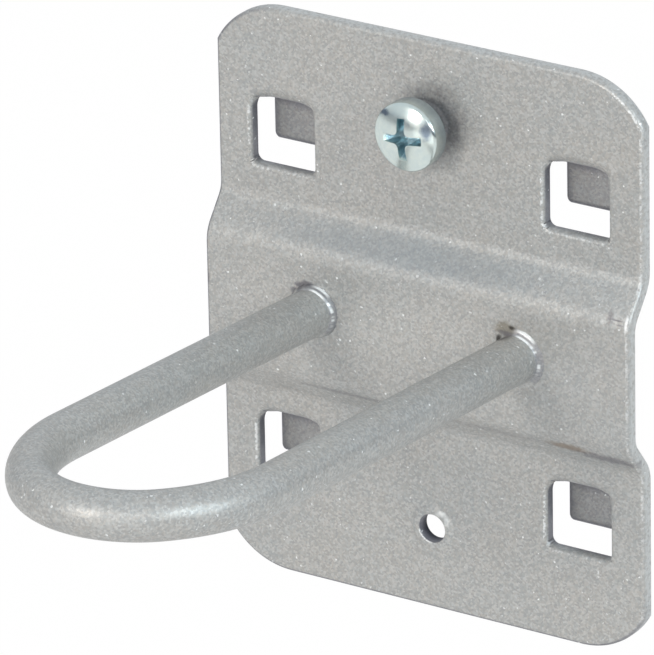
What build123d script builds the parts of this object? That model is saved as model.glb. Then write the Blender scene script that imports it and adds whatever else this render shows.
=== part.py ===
"""Loop hook for a square-hole tool panel.

A pressed sheet-steel plate hangs on the panel by four folded lugs and is locked by a screw.
A bent rod loop, welded to the plate's stepped band, carries the tool.

Frame: +X to the right and +Z up when facing the loop, which points along -Y.
The origin is the centre of the four lugs, on the plane of the plate's back, which meets the panel.
All sizes are in millimetres and degrees.
"""

import os
from math import cos, radians, sin, tan

from build123d import *

os.makedirs("parts", exist_ok=True)

# Tool panel
panel_pitch = 38.0  # between neighbouring square holes, across and up

# Back plate
plate_width = 55.0
plate_height = 68.0
sheet = 1.5
corner_radius = 7.5
edge_break = 0.3  # taken off the outer edges, front and back

# Band across the middle, pressed forward between two slopes
band_step = 3.17
upper_slope = 8.7  # height of the middle of the slope above the band
lower_slope = -9.3  # height of the middle of the slope below the band
slope_angle = 38.0  # from the plate's plane
bend_radius = 2.5  # on the inside of each bend

# Windows left by the lanced lugs
window_width = 8.2
window_height = 8.0
window_corner = 0.85

# Lugs, folded back and then down behind the panel
lug_side_gap = 0.4
lug_gap = 2.44  # from the plate's back to the lug's front, where the panel slides in
lug_rise = 1.6  # from the window's top edge up to where the fold starts
lug_fold = 0.3  # inside radius of both folds
lug_tip_gap = 1.75  # from the window's bottom edge up to the lug's tip
lug_corner = 0.5

# Tapped holes above and below the band, each with a low lip raised by the punch
hole_height = 24.2  # above and below the origin
thread_diameter = 4.0
thread_clearance = 0.02
core_diameter = 3.3
lip_diameter = 5.4
lip_height = 0.2
lip_slope = 40.0

# Locking screw
head_diameter = 8.0
head_side = 2.1
head_height = 3.1
head_edge = 0.45
screw_length = 5.0
screw_stand_off = 2.3  # from the plate's front to the head's underside
screw_tip = 0.5
recess_span = 5.2
recess_arm = 0.95
recess_depth = 2.2
recess_corner = 0.55
recess_taper = 26.0
recess_turn = 3.0

# Rod loop
rod_diameter = 5.5
loop_spacing = 26.4  # between the centres of the two legs
loop_straight = 48.7  # of each leg, from the band's front to the bend
bend_depth = 17.25  # from the end of the legs to the nose, along the rod's centre
flank_turn = 41.0  # turned by the easy arc beside each leg
loop_tilt = 3.9  # the nose lies higher than the roots
loop_height = 0.42  # of the roots' centres above the origin

# Welds round the rod's roots
weld_width = 0.8  # on the plate
left_weld_length = 1.6  # along the rod
right_weld_length = 1.0

# Lug, drawn at the centre of its window: the sheet folds back, then down behind the panel
fold_start = window_height / 2 + lug_rise
fold_level = fold_start - lug_fold
fold_outside = sheet + lug_fold
lug_back = lug_gap + sheet
lug_width = window_width - 2 * lug_side_gap
with BuildPart() as lug:
    with BuildSketch(Plane.YZ):
        with BuildLine():
            FilletPolyline(
                (0, fold_start + lug_fold),
                (0, fold_level),
                (lug_back, fold_level),
                (lug_back, lug_tip_gap - window_height / 2),
                radius=[lug_fold, fold_outside],
            )
            offset(amount=sheet, side=Side.RIGHT)
        make_face()
    extrude(amount=lug_width / 2, both=True)
    fillet(lug.edges().filter_by(Axis.Y).group_by(Axis.Z)[0], lug_corner)

# What the fold takes away from the plate's front above a window
with BuildPart() as fold_relief:
    with BuildSketch(Plane.YZ):
        with BuildLine():
            fold_face = CenterArc((lug_fold, fold_start), fold_outside, 180, 90)
            Polyline(
                fold_face @ 1,
                (-2 * sheet, fold_start - fold_outside),
                (-2 * sheet, fold_start),
                fold_face @ 0,
            )
        make_face()
    extrude(amount=window_width / 2, both=True)

# Back plate: its side profile is drawn along the sheet's back and thickened towards the front
half_run = band_step / 2 / tan(radians(slope_angle))
half_pitch = panel_pitch / 2
lug_places = [(x, 0, z) for x in (-half_pitch, half_pitch) for z in (-half_pitch, half_pitch)]
with BuildPart() as back_plate:
    with BuildSketch(Plane.YZ):
        with BuildLine():
            FilletPolyline(
                (0, plate_height / 2),
                (0, upper_slope + half_run),
                (-band_step, upper_slope - half_run),
                (-band_step, lower_slope + half_run),
                (0, lower_slope - half_run),
                (0, -plate_height / 2),
                radius=[bend_radius + sheet, bend_radius, bend_radius, bend_radius + sheet],
            )
            offset(amount=sheet, side=Side.RIGHT)
        make_face()
    extrude(amount=plate_width / 2, both=True)
    fillet(back_plate.edges().filter_by(Axis.Y), corner_radius)
    # The broken edge runs on from the top edges round the whole outline
    chamfer(back_plate.edges().group_by(Axis.Z)[-1], edge_break)
    with BuildSketch(Plane.XZ):
        with GridLocations(panel_pitch, panel_pitch, 2, 2):
            RectangleRounded(window_width, window_height, window_corner)
    extrude(amount=2 * sheet, both=True, mode=Mode.SUBTRACT)
    with Locations(*lug_places):
        add(fold_relief.part, mode=Mode.SUBTRACT)
        add(lug.part)
    with BuildSketch(Plane.XZ.offset(sheet)):
        with Locations((0, hole_height), (0, -hole_height)):
            Circle(lip_diameter / 2)
    extrude(amount=lip_height, taper=lip_slope)
    with BuildSketch(Plane.XZ):
        with Locations((0, hole_height)):
            Circle(thread_diameter / 2 + thread_clearance)
        with Locations((0, -hole_height)):
            Circle(core_diameter / 2)
    extrude(amount=2 * sheet, both=True, mode=Mode.SUBTRACT)
back_plate.part.label = "back_plate"
export_step(back_plate.part, "parts/back_plate.step")

# Loop rod: two legs, an easy arc beside each and a tighter nose between, all tangent
band_face = Plane.XZ.offset(sheet + band_step)
tilt = radians(loop_tilt)
root_y = -(sheet + band_step)
loop_plane = Plane((0, root_y, loop_height), x_dir=(1, 0, 0), z_dir=(0, sin(tilt), cos(tilt)))
half_spacing = loop_spacing / 2
flank = radians(flank_turn)
radius_change = (bend_depth - half_spacing) / (cos(flank) + sin(flank) - 1)
flank_radius = half_spacing + radius_change * cos(flank)
nose_radius = bend_depth - radius_change * sin(flank)
root_overrun = rod_diameter / 2  # the legs start behind the band's face and are trimmed on it
with BuildPart() as loop_rod:
    with BuildLine(loop_plane):
        left_leg = Line((-half_spacing, root_overrun), (-half_spacing, -loop_straight))
        left_flank = JernArc(left_leg @ 1, left_leg % 1, flank_radius, flank_turn)
        nose = JernArc(left_flank @ 1, left_flank % 1, nose_radius, 180 - 2 * flank_turn)
        right_flank = JernArc(nose @ 1, nose % 1, flank_radius, flank_turn)
        Line(right_flank @ 1, (half_spacing, root_overrun))
    with BuildSketch(Plane(left_leg @ 0, z_dir=left_leg % 0)):
        Circle(rod_diameter / 2)
    sweep()
    split(bisect_by=band_face, keep=Keep.TOP)
loop_rod.part.label = "loop_rod"
export_step(loop_rod.part, "parts/loop_rod.step")


def weld_bead(root_x, weld_length):
    """Fillet round one root: turned about the leg, flush on the band and cut out by the rod."""
    root = loop_plane.origin + (root_x, 0, 0)
    toe = rod_diameter / 2 + weld_width
    with BuildPart() as bead:
        with BuildSketch(Plane(root, x_dir=loop_plane.x_dir, z_dir=loop_plane.z_dir)):
            Polygon(
                (toe, 0),
                (rod_diameter / 2, -weld_length),
                (0, -weld_length),
                (0, weld_width),
                (toe, weld_width),
                align=None,
            )
        revolve(axis=Axis(root, loop_plane.y_dir))
        split(bisect_by=band_face, keep=Keep.TOP)
        add(loop_rod.part, mode=Mode.SUBTRACT)
    return bead


left_weld = weld_bead(-half_spacing, left_weld_length)
left_weld.part.label = "left_weld"
export_step(left_weld.part, "parts/left_weld.step")

right_weld = weld_bead(half_spacing, right_weld_length)
right_weld.part.label = "right_weld"
export_step(right_weld.part, "parts/right_weld.step")

# Cross recess: a cross-shaped prism within a cone, from the top of the head inwards
seat = (0, -(sheet + screw_stand_off), hole_height)
head_top = Plane(seat, x_dir=(1, 0, 0), z_dir=(0, -1, 0)).offset(head_height)
with BuildPart() as driver_recess:
    with BuildSketch(head_top) as cross:
        Rectangle(recess_span, recess_arm, rotation=recess_turn)
        Rectangle(recess_arm, recess_span, rotation=recess_turn)
        fillet(cross.vertices().sort_by_distance((0, 0, 0))[:4], recess_corner)
    extrude(amount=-recess_depth)
    with BuildSketch(head_top):
        Circle(recess_span / 2)
    extrude(amount=-recess_depth, taper=recess_taper, mode=Mode.INTERSECT)

# Locking screw: turned about its axis, with the head in front of the seat and the shank behind it
with BuildPart() as locking_screw:
    with BuildSketch(Plane(seat, x_dir=(1, 0, 0), z_dir=(0, 0, -1))) as half_section:
        with BuildLine():
            dome = TangentArc((0, head_height), (head_diameter / 2, head_side), tangent=(1, 0))
            Polyline(
                dome @ 1,
                (head_diameter / 2, 0),
                (thread_diameter / 2, 0),
                (thread_diameter / 2, screw_tip - screw_length),
                (thread_diameter / 2 - screw_tip, -screw_length),
                (0, -screw_length),
                dome @ 0,
            )
        make_face()
        head_rims = half_section.vertices().group_by(Axis.X)[-1]
        fillet(head_rims.sort_by(Axis.Y)[-1], head_edge)
    revolve(axis=Axis(seat, (0, -1, 0)))
    add(driver_recess.part, mode=Mode.SUBTRACT)
locking_screw.part.label = "locking_screw"
export_step(locking_screw.part, "parts/locking_screw.step")
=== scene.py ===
# %% [markdown]
# # A loop hook for a square-hole tool panel
#
# The real hook is four pieces of work: a pressed sheet-steel plate, a rod bent into a loop, two welds
# that join them, and a screw that locks the plate to the panel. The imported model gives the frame, so
# every piece below is drawn where that model has it. Shapes are drawn in millimetres, as on a workshop
# drawing, and each finished mesh is turned into metres at the end.

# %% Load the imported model
from math import acos, asin, atan2, cos, degrees, hypot, pi, radians, sin, sqrt, tan

import bmesh
import bpy
from mathutils import Matrix, Vector


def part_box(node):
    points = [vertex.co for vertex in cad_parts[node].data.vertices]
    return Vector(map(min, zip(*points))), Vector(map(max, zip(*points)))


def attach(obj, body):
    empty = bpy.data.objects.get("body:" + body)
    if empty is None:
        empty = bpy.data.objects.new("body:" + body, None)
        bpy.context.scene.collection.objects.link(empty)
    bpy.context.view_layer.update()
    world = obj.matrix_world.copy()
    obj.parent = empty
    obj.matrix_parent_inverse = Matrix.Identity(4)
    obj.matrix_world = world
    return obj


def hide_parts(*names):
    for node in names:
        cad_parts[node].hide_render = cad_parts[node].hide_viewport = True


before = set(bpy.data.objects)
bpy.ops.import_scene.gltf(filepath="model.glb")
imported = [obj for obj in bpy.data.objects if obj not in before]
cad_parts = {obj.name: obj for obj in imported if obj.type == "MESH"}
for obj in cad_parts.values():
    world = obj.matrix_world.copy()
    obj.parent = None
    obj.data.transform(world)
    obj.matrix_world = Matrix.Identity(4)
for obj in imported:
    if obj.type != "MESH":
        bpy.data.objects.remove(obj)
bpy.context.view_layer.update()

MM = 0.001
half_pitch = 19.0  # from the middle of the hook to the panel's holes, across and up
scene = bpy.context.scene
print("nodes in the frame:", sorted(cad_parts))

# %% [markdown]
# ## Writing node trees as sums
#
# Both finishes and shapes need arithmetic in node trees. Wiring Math nodes by hand is slow to write and
# slow to read, so a small class wraps one output socket, and Python's operators on it add the nodes.
# A second class adds any other node: its settings first, then a value or a link for each socket.


# %% A number in a node tree
class Number:
    """One number that a node tree works out. Operators on it add Math nodes."""

    def __init__(self, maker, socket):
        self.maker = maker
        self.socket = socket

    def math(self, operation, *others):
        return self.maker.math(operation, self, *others)

    def __add__(self, other):
        return self.math("ADD", other)

    def __sub__(self, other):
        return self.math("SUBTRACT", other)

    def __mul__(self, other):
        return self.math("MULTIPLY", other)

    def __truediv__(self, other):
        return self.math("DIVIDE", other)

    def __gt__(self, other):
        return self.math("GREATER_THAN", other)

    def __lt__(self, other):
        return self.math("LESS_THAN", other)

    def __rsub__(self, other):
        return self.maker.math("SUBTRACT", other, self)

    def __rtruediv__(self, other):
        return self.maker.math("DIVIDE", other, self)

    def __abs__(self):
        return self.math("ABSOLUTE")

    __radd__ = __add__
    __rmul__ = __mul__


print("sums can be written")


# %% Adding nodes to a tree
class NodeMaker:
    """Adds nodes to one tree, for a finish or for a shape."""

    def __init__(self, tree):
        self.tree = tree

    def node(self, kind, settings=(), sockets=()):
        """Adds one node: its settings first, then a value or a link for each socket."""
        made = self.tree.nodes.new(kind)
        for name, value in dict(settings).items():
            setattr(made, name, value)
        for key, value in dict(sockets).items():
            source = value.socket if isinstance(value, Number) else value
            if isinstance(source, bpy.types.NodeSocket):
                self.tree.links.new(source, made.inputs[key])
            else:
                made.inputs[key].default_value = source
        return made

    def number(self, node, output=0):
        return Number(self, node.outputs[output])

    def math(self, operation, *values):
        return self.number(self.node("ShaderNodeMath", {"operation": operation}, enumerate(values)))

    def smooth(self, value, low, high):
        """Runs smoothly from 0 where the value is low to 1 where it is high."""
        sockets = {"Value": value, "From Min": low, "From Max": high}
        return self.number(self.node("ShaderNodeMapRange", {"interpolation_type": "SMOOTHSTEP"}, sockets))

    def vector(self, x, y, z):
        return self.node("ShaderNodeCombineXYZ", {}, {"X": x, "Y": y, "Z": z}).outputs[0]

    def parts(self, vector):
        """The three numbers of a vector or a colour."""
        split = self.node("ShaderNodeSeparateXYZ", {}, {0: vector})
        return [self.number(split, axis) for axis in range(3)]

    def mix(self, share, first, second):
        """Goes from one colour to another as the share goes from 0 to 1."""
        sockets = {0: share, 6: first, 7: second}
        return self.node("ShaderNodeMix", {"data_type": "RGBA"}, sockets).outputs[2]

    def between(self, value, rise, fall):
        """1 from the end of a rise to the start of a fall, and 0 outside both."""
        return self.smooth(value, *rise) * self.smooth(value, *reversed(fall))

    def noise(self, place, scale, detail):
        """Smooth random numbers about 0.5, finer as the scale grows."""
        sockets = {"Vector": place, "Scale": scale, "Detail": detail}
        return self.number(self.node("ShaderNodeTexNoise", {}, sockets))

    def attribute(self, name):
        """A number that the mesh carries at each of its points."""
        return self.number(self.node("ShaderNodeAttribute", {"attribute_name": name}), "Fac")


def empty_tree(owner):
    """Clears the node tree of a material or a world and returns a maker for it."""
    owner.use_nodes = True
    owner.node_tree.nodes.clear()
    return NodeMaker(owner.node_tree)


def millimetres(maker):
    """Place on the piece in millimetres."""
    metres = maker.node("ShaderNodeTexCoord").outputs["Object"]
    return maker.node("ShaderNodeVectorMath", {"operation": "SCALE"}, {0: metres, "Scale": 1 / MM}).outputs[0]


print("node tools ready")

# %% [markdown]
# ## Silver flake paint
#
# The plate, rod and welds were sprayed together with a grey paint full of tiny metal flakes. Each flake
# lies at its own angle, so from a step away the surface is a fine grain with a few bright sparks,
# which are painted highlights in the colour.
# A photograph could be wrapped round the parts, but it would stretch and show seams. Voronoi cells in
# object coordinates do it better: one cell is one flake, with a random tone and a random tilt.

# %% The coat of flakes
flake_size = 0.23
flake_contrast = 0.66
flake_hue, cloud_hue = 0.6, 0.8
cloud_size = 9.0
spark_share, spark_edge = 0.9955, 0.002
coat_warm = (0.485, 0.455, 0.415, 1)
coat_cool = (0.415, 0.432, 0.43, 1)
flake_dark = (0.24, 0.24, 0.25, 1)
flake_light = (0.72, 0.72, 0.70, 1)


def flake_coat(maker, place):
    """Colour of the coat, where its sparks of painted highlight are and how its flakes are tilted."""
    grain = maker.node("ShaderNodeTexVoronoi", {}, {"Vector": place, "Scale": 1 / flake_size})
    tone, chance, tilt = maker.parts(grain.outputs["Color"])
    cloud = maker.noise(place, 1 / cloud_size, 2)
    hue = 0.5 + flake_hue * (tilt - 0.5) + cloud_hue * (cloud - 0.5)
    middle = maker.mix(hue, coat_cool, coat_warm)
    darkened = maker.mix((0.5 - tone).math("MAXIMUM", 0) * flake_contrast, middle, flake_dark)
    coat = maker.mix((tone - 0.5).math("MAXIMUM", 0) * flake_contrast, darkened, flake_light)
    return coat, maker.smooth(chance, spark_share, spark_share + spark_edge), tilt


print("flakes of", flake_size, "mm")

# %% Where the coat is burnt, stained or rubbed bright, and where shade and highlights are painted on
highlight_and_wear_colour = (0.95, 0.96, 0.95, 1)
burnt = (0.20, 0.17, 0.11, 1)
charred = (0.03, 0.025, 0.02, 1)
rusty = (0.26, 0.18, 0.11, 1)
grime_and_shade = (0.11, 0.10, 0.12, 1)
slope_painted_shade = (0.25, 0.28, 0.30, 1)
on_band = (-4.8, -4.2)
on_bead = (-6.8, -4.3)
on_slope = (-4.8, -2.0)
on_foot = (-4.8, -1.4)
on_face = (-1.9, -1.2)
# Centre and size across and up, the depths between which it shows, its colour and its strength
blots = [
    ((11.8, 3.7), (1.2, 0.8), on_bead, burnt, 0.6),
    # painted shade in the corner along the top of the right rod at its weld
    ((11.9, 3.2), (1.0, 0.25), on_bead, grime_and_shade, 0.6),
    ((11.1, 2.4), (0.5, 0.4), on_bead, charred, 0.9),
    ((12.6, 3.95), (0.35, 0.22), on_bead, charred, 0.85),
    # painted shade in a gap at the upper left of the left weld
    ((-15.7, 2.4), (0.5, 0.4), on_bead, grime_and_shade, 0.65),
    ((-14.8, 3.2), (0.7, 0.35), on_bead, grime_and_shade, 0.7),
    ((-14.0, 3.6), (0.6, 0.25), on_bead, grime_and_shade, 0.6),
    ((19.0, -9.3), (2.6, 0.5), on_slope, rusty, 0.6),
    # darker along the lower slope's crease: grime and painted shade
    ((24.0, -9.9), (3.6, 0.6), on_slope, grime_and_shade, 0.6),
    ((9.0, -9.6), (9.0, 0.4), on_slope, grime_and_shade, 0.2),
    ((-10.0, -9.3), (7.0, 0.3), on_slope, grime_and_shade, 0.3),
    # painted shade: the upper slope darker in its middle, the band darker on its right
    ((-1.0, 9.1), (17.0, 1.6), on_foot, slope_painted_shade, 0.4),
    ((24.0, -1.0), (8.0, 7.0), on_band, slope_painted_shade, 0.12),
    # a dent and scratches near the upper slope's right end, drawn as painted shade and a painted highlight,
    # then a bright edge of wear and painted highlight
    ((24.9, 7.7), (0.35, 0.7), on_slope, grime_and_shade, 0.4),
    ((25.9, 7.5), (0.8, 0.1), on_slope, grime_and_shade, 0.6),
    ((26.2, 7.05), (0.5, 0.1), on_slope, grime_and_shade, 0.5),
    ((24.1, 7.0), (0.3, 0.25), on_slope, highlight_and_wear_colour, 0.25),
    ((27.0, 7.2), (0.16, 1.0), on_slope, highlight_and_wear_colour, 0.6),
    ((-27.4, 1.5), (0.4, 0.8), on_band, grime_and_shade, 0.7),
    # painted shadow round the screw hole, under the screw's head
    ((0.6, 24.4), (3.8, 3.8), on_face, grime_and_shade, 0.55),
    # painted highlights on the lower hole's lip
    ((1.1, -22.2), (0.6, 0.3), on_face, highlight_and_wear_colour, 0.45),
    ((1.9, -23.0), (0.3, 0.6), on_face, highlight_and_wear_colour, 0.35),
]
blot_raggedness = 1.2
blot_outside, blot_inside = 1.5, 0.4


def blot(parts, ragged, centre, size, depth):
    """1 inside a ragged spot about a centre in x and z, on surfaces between two depths."""
    x, y, z = parts
    across, upward = (x - centre[0]) / size[0], (z - centre[1]) / size[1]
    reach = (across * across + upward * upward).math("SQRT") + (ragged - 0.5) * blot_raggedness
    return x.maker.smooth(reach, blot_outside, blot_inside) * (y > depth[0]) * (y < depth[1])


print("blots:", len(blots))

# %% Where the lugs lie in the plate's shade
under_top = (1.4, 3.3)
under_side = (-2.4, -3.7)
side_share = 0.7
open_share = 0.3
lug_front_rise, lug_front_fall = (0.6, 1.2), (2.7, 3.2)


def lug_shadow(parts):
    """1 where a lug lies close under the plate and little light gets to its front."""
    x, y, z = parts
    maker = x.maker
    beside, above = x - x.math("SIGN") * half_pitch, z - z.math("SIGN") * half_pitch
    from_side = maker.smooth(beside, *under_side) * side_share
    hidden = maker.smooth(above, *under_top).math("MAXIMUM", from_side)
    return (open_share + (1 - open_share) * hidden) * maker.between(y, lug_front_rise, lug_front_fall)


print("least shade on a lug:", open_share)

# %% Spray the paint
# Colours of the painted shade on walls and lugs, of the deeper painted shade in a bore, and of the painted
# light on edges that face right and up
wall_shade = (0.12, 0.12, 0.155, 1)
bore_shade = (0.022, 0.024, 0.034, 1)
rim_painted_light = (0.62, 0.63, 0.62, 1)
shadow_depth = 0.9
bore_start = 0.76
chip_scale, patch_scale, stain_scale = 2.6, 0.5, 1.6
pale_chips = (0.3, 0.6)
patch_share = 0.5
wear_and_highlight_chips = (0.76, 0.88)
wear_and_highlight_strength = 0.65
spark_least, spark_spread = 0.3, 0.5
coat_metal = 0.5
coat_rough, bright_gloss = 0.46, 0.22
peel_size, peel_depth = 1.1, 0.05
flake_depth, flake_relief = 0.035, 0.6


def coat_relief(maker, place, tilt):
    """The soft waves of sprayed paint, with the flakes' tilt on top."""
    peel = maker.noise(place, 1 / peel_size, 1)
    waves = {"Strength": 1.0, "Distance": peel_depth * MM, "Height": peel}
    wavy = maker.node("ShaderNodeBump", {}, waves).outputs[0]
    flakes = {"Strength": flake_relief, "Distance": flake_depth * MM, "Height": tilt, "Normal": wavy}
    return maker.node("ShaderNodeBump", {}, flakes).outputs[0]


def silver_paint():
    """The coat, its rims by the numbers that each mesh carries, and its blots, with painted shade, painted
    light and painted highlights among them.
    """
    material = bpy.data.materials.new("silver_paint")
    maker = empty_tree(material)
    place = millimetres(maker)
    parts = maker.parts(place)
    colour, spark, tilt = flake_coat(maker, place)

    dark, pale, edge, glint = map(maker.attribute, ("dark", "pale", "edge", "glint"))
    # painted shadow on the lugs, then painted shade on cut walls, folds and welds, deepest in the bore
    colour = maker.mix(lug_shadow(parts) * shadow_depth, colour, wall_shade)
    colour = maker.mix(dark, colour, wall_shade)
    colour = maker.mix(maker.smooth(dark, bore_start, 1.0), colour, bore_shade)
    chips = maker.noise(place, chip_scale, 3)
    patches = maker.noise(place, patch_scale, 1)
    # painted light on the rims of edges that face right and up
    colour = maker.mix(pale * maker.smooth(chips, *pale_chips), colour, rim_painted_light)
    # bright edges, partly wear and partly painted highlight; the sparks and the weld's glints are painted
    # highlights
    wear_and_highlight = edge * maker.smooth(chips + patch_share * patches, *wear_and_highlight_chips) * wear_and_highlight_strength
    sparkle = spark * (spark_least + spark_spread * tilt)
    bright = sparkle.math("MAXIMUM", wear_and_highlight).math("MAXIMUM", glint)
    colour = maker.mix(bright, colour, highlight_and_wear_colour)
    ragged = maker.noise(place, stain_scale, 3)
    for centre, size, depth, shade, strength in blots:
        colour = maker.mix(blot(parts, ragged, centre, size, depth) * strength, colour, shade)

    looks = {
        "Base Color": colour,
        "Metallic": coat_metal * (1 - bright),
        "Roughness": coat_rough - bright_gloss * bright,
        "Normal": coat_relief(maker, place, tilt),
    }
    surface = maker.node("ShaderNodeBsdfPrincipled", {}, looks)
    maker.node("ShaderNodeOutputMaterial", {}, {"Surface": surface.outputs[0]})
    return material


paint = silver_paint()
print("paint nodes:", len(paint.node_tree.nodes))

# %% [markdown]
# ## Bright zinc
#
# The locking screw is zinc plated and passivated, which leaves a bright metal with a cold tint. A mirror
# alone would look like chrome, so the tint and the gloss drift with a soft noise. The recess holds
# shade that is too fine for the lamps to draw, so the mesh carries how deep each point is sunk, and the
# plating darkens by it. Two dark spots on the dome are painted reflections, and the head is painted darker
# towards the plate as painted shade, so that it does not shine evenly.

# %% Zinc
zinc_cold = (0.58, 0.68, 0.69, 1)
zinc_pale = (0.76, 0.82, 0.76, 1)
zinc_deep = (0.46, 0.58, 0.62, 1)
# colour of the painted shade on the head's side near the plate and of two painted dark reflections on the
# dome
zinc_painted_dark = (0.17, 0.22, 0.29, 1)
zinc_cloud_scale = 1.4
painted_shade_side, painted_shade_side_share = (-6.0, -4.2), 0.55
on_dome = (-7.0, -5.4)
painted_dark_reflections = [((2.9, 25.6), (0.6, 0.9)), ((-2.6, 26.8), (0.7, 0.35))]
painted_reflection_share = 0.9
sunk_shade = (0.15, 0.6)
zinc_rough, zinc_rough_drift = 0.16, 0.1


def bright_zinc():
    material = bpy.data.materials.new("bright_zinc")
    maker = empty_tree(material)
    place = millimetres(maker)
    parts = maker.parts(place)
    cloud = maker.noise(place, zinc_cloud_scale, 3)
    plating = maker.mix(cloud, zinc_cold, zinc_pale)
    # painted shade towards the plate, then two painted dark reflections on the dome
    plating = maker.mix(maker.smooth(parts[1], *painted_shade_side) * painted_shade_side_share, plating, zinc_painted_dark)
    for centre, size in painted_dark_reflections:
        plating = maker.mix(blot(parts, cloud, centre, size, on_dome) * painted_reflection_share, plating, zinc_painted_dark)
    looks = {
        "Base Color": maker.mix(maker.smooth(maker.attribute("sunk"), *sunk_shade), plating, zinc_deep),
        "Metallic": 1.0,
        "Roughness": zinc_rough + zinc_rough_drift * cloud,
    }
    surface = maker.node("ShaderNodeBsdfPrincipled", {}, looks)
    maker.node("ShaderNodeOutputMaterial", {}, {"Surface": surface.outputs[0]})
    return material


zinc = bright_zinc()
print("zinc nodes:", len(zinc.node_tree.nodes))

# %% [markdown]
# ## The pressed plate
#
# The plate starts as a flat blank. A punch cuts the outline, two holes and four U-shaped slots, and a
# press then steps the band forward and folds each tongue back and down into a lug that hooks behind the
# panel. The same steps work here: draw the blank, fill it, cut it along the lines where it will bend,
# and send every point through one function that says where the press puts it. One skin for plate and
# lugs means that the folds flow into the plate, with no seam to hide.

# %% Sizes of the plate
plate_low, plate_high = [Vector(corner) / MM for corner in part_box("back_plate")]
plate_width = plate_high.x - plate_low.x
plate_height = plate_high.z - plate_low.z
sheet = 1.5
corner_radius = 9.5
corner_start = radians(28)
# Rounding of the punched edges
edge_round = 0.5
hole_round = 0.2
back_round = 0.15
# Windows and the tongues in them, measured from a window's centre
window_half = 4.1
window_top = 4.0
window_corner = 0.85
slot_corner = 0.9
slot_end = 3.4
lug_half = 3.7
lug_neck = 3.2
neck_end = 2.6
shoulder = 2.15
lug_tip = -2.25
lug_corner = 0.6
# Lugs, folded back and then down
lug_gap = 2.44
lug_rise = 1.6
lug_fold = 0.3
# Holes and the lips round them
hole_height = 24.2
screw_hole = 2.02
core_hole = 1.65
lip_height = 0.2
lip_foot = 2.9
lip_top = 2.2
print("plate", round(plate_width, 2), "x", round(plate_height, 2), "mm")


# %% The stepped band
def ease(value, low, high):
    """Runs smoothly from 0 at low to 1 at high."""
    share = min(max((value - low) / (high - low), 0), 1)
    return share * share * (3 - 2 * share)


band_step = 3.17
slope_angle = radians(38)
bend_radius = 2.5
upper_slope, lower_slope = 8.7, -9.3
half_run = band_step / 2 / tan(slope_angle)
front_shift = sheet * tan(slope_angle / 2)
upper_middle = upper_slope + front_shift
lower_middle = lower_slope - front_shift
slope_outer = bend_radius + sheet
slope_foot = half_run + bend_radius * tan(slope_angle / 2)
slope_crest = half_run + slope_outer * tan(slope_angle / 2)


def slope(distance):
    """How far the front stands forward, at a distance outwards from the middle of a slope."""
    if distance > slope_foot:
        return 0
    if distance > slope_foot - bend_radius * sin(slope_angle):
        return bend_radius - sqrt(bend_radius**2 - (slope_foot - distance) ** 2)
    if distance > slope_outer * sin(slope_angle) - slope_crest:
        return band_step / 2 - distance * tan(slope_angle)
    if distance > -slope_crest:
        return band_step - slope_outer + sqrt(slope_outer**2 - (distance + slope_crest) ** 2)
    return band_step


def forward(z):
    """How far the band's press has brought the front forward at a height."""
    return min(slope(z - upper_middle), slope(lower_middle - z))


print("band stands forward by", forward(0))

# %% [markdown]
# ### The lugs
#
# On the real plate each lug is a tongue of the same sheet, folded back through its window and then down.
# A block behind a hole would show a seam at its root. Here a height on the flat tongue is walked along
# the folds instead: round the first bend, straight back, round the second and down. Towards its sides the
# fold sags a little, because the slots beside the tongue stop short of the window's top.

# %% The lugs' folds
fold_outside = sheet + lug_fold
fold_start = window_top + lug_rise
fold_angle = asin(lug_rise / fold_outside)
roll_side = 0.4
roll_fade = 1.5
sag_start = 1.6
sag_round = 4.0
sag_low, sag_high = 2.15, 3.0


def from_window(x, z):
    """A point of the blank measured from the nearest window's centre, across and up."""
    return abs(abs(x) - half_pitch), z - (half_pitch if z > 0 else -half_pitch)


def sag(across, up):
    """How much lower the fold lies towards a lug's sides, where the slots stop short of the top."""
    beyond = min(max(across, sag_start), lug_neck) - sag_start
    return (sag_round - sqrt(sag_round**2 - beyond**2)) * ease(up, sag_low, sag_high)


def roll(across, up):
    """How far the sheet above a window has turned back on its way into the lug, and by what angle."""
    level = up + sag(across, up)
    turned = min(max(fold_start - level, 0), lug_rise)
    beside = 1 - ease(across, lug_neck, window_half + roll_side)
    share = beside * ease(level, window_top - roll_fade, window_top)
    return share * (fold_outside - sqrt(fold_outside**2 - turned**2)), share * asin(turned / fold_outside)


rest_of_fold = fold_outside * (pi / 2 - fold_angle)
lug_run = lug_gap - 2 * lug_fold
inner_fold = lug_fold * pi / 2
lug_drop = fold_start - fold_outside - lug_fold - lug_tip
lug_stretch = (rest_of_fold + lug_run + inner_fold + lug_drop) / (window_top - lug_tip)


def lug_front(up):
    """Back and up position of the lug's front, for a height on the flat tongue."""
    walked = (window_top - up) * lug_stretch
    level = fold_start - fold_outside
    if walked < rest_of_fold:
        angle = fold_angle + walked / fold_outside
        return lug_fold - fold_outside * cos(angle), fold_start - fold_outside * sin(angle)
    walked -= rest_of_fold
    if walked < lug_run:
        return lug_fold + walked, level
    walked -= lug_run
    if walked < inner_fold:
        angle = walked / lug_fold
        return lug_gap - lug_fold + lug_fold * sin(angle), level - lug_fold * (1 - cos(angle))
    return lug_gap, level - lug_fold - (walked - inner_fold)


def lug_place(across, up):
    """Back and up position of the lug's front, with its sides as low as the fold there."""
    low = sag(across, up)
    back, height = lug_front(up + low)
    return back, height - low


print("lug is drawn out by", round(lug_stretch, 2))

# %% Where the press puts a point of the blank
nudge = 0.01


def lip(x, z):
    """Low burr that the punch raised round each hole."""
    reach = hypot(x, abs(z) - hole_height)
    return lip_height * ease(lip_foot - reach, 0, lip_foot - lip_top)


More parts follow.
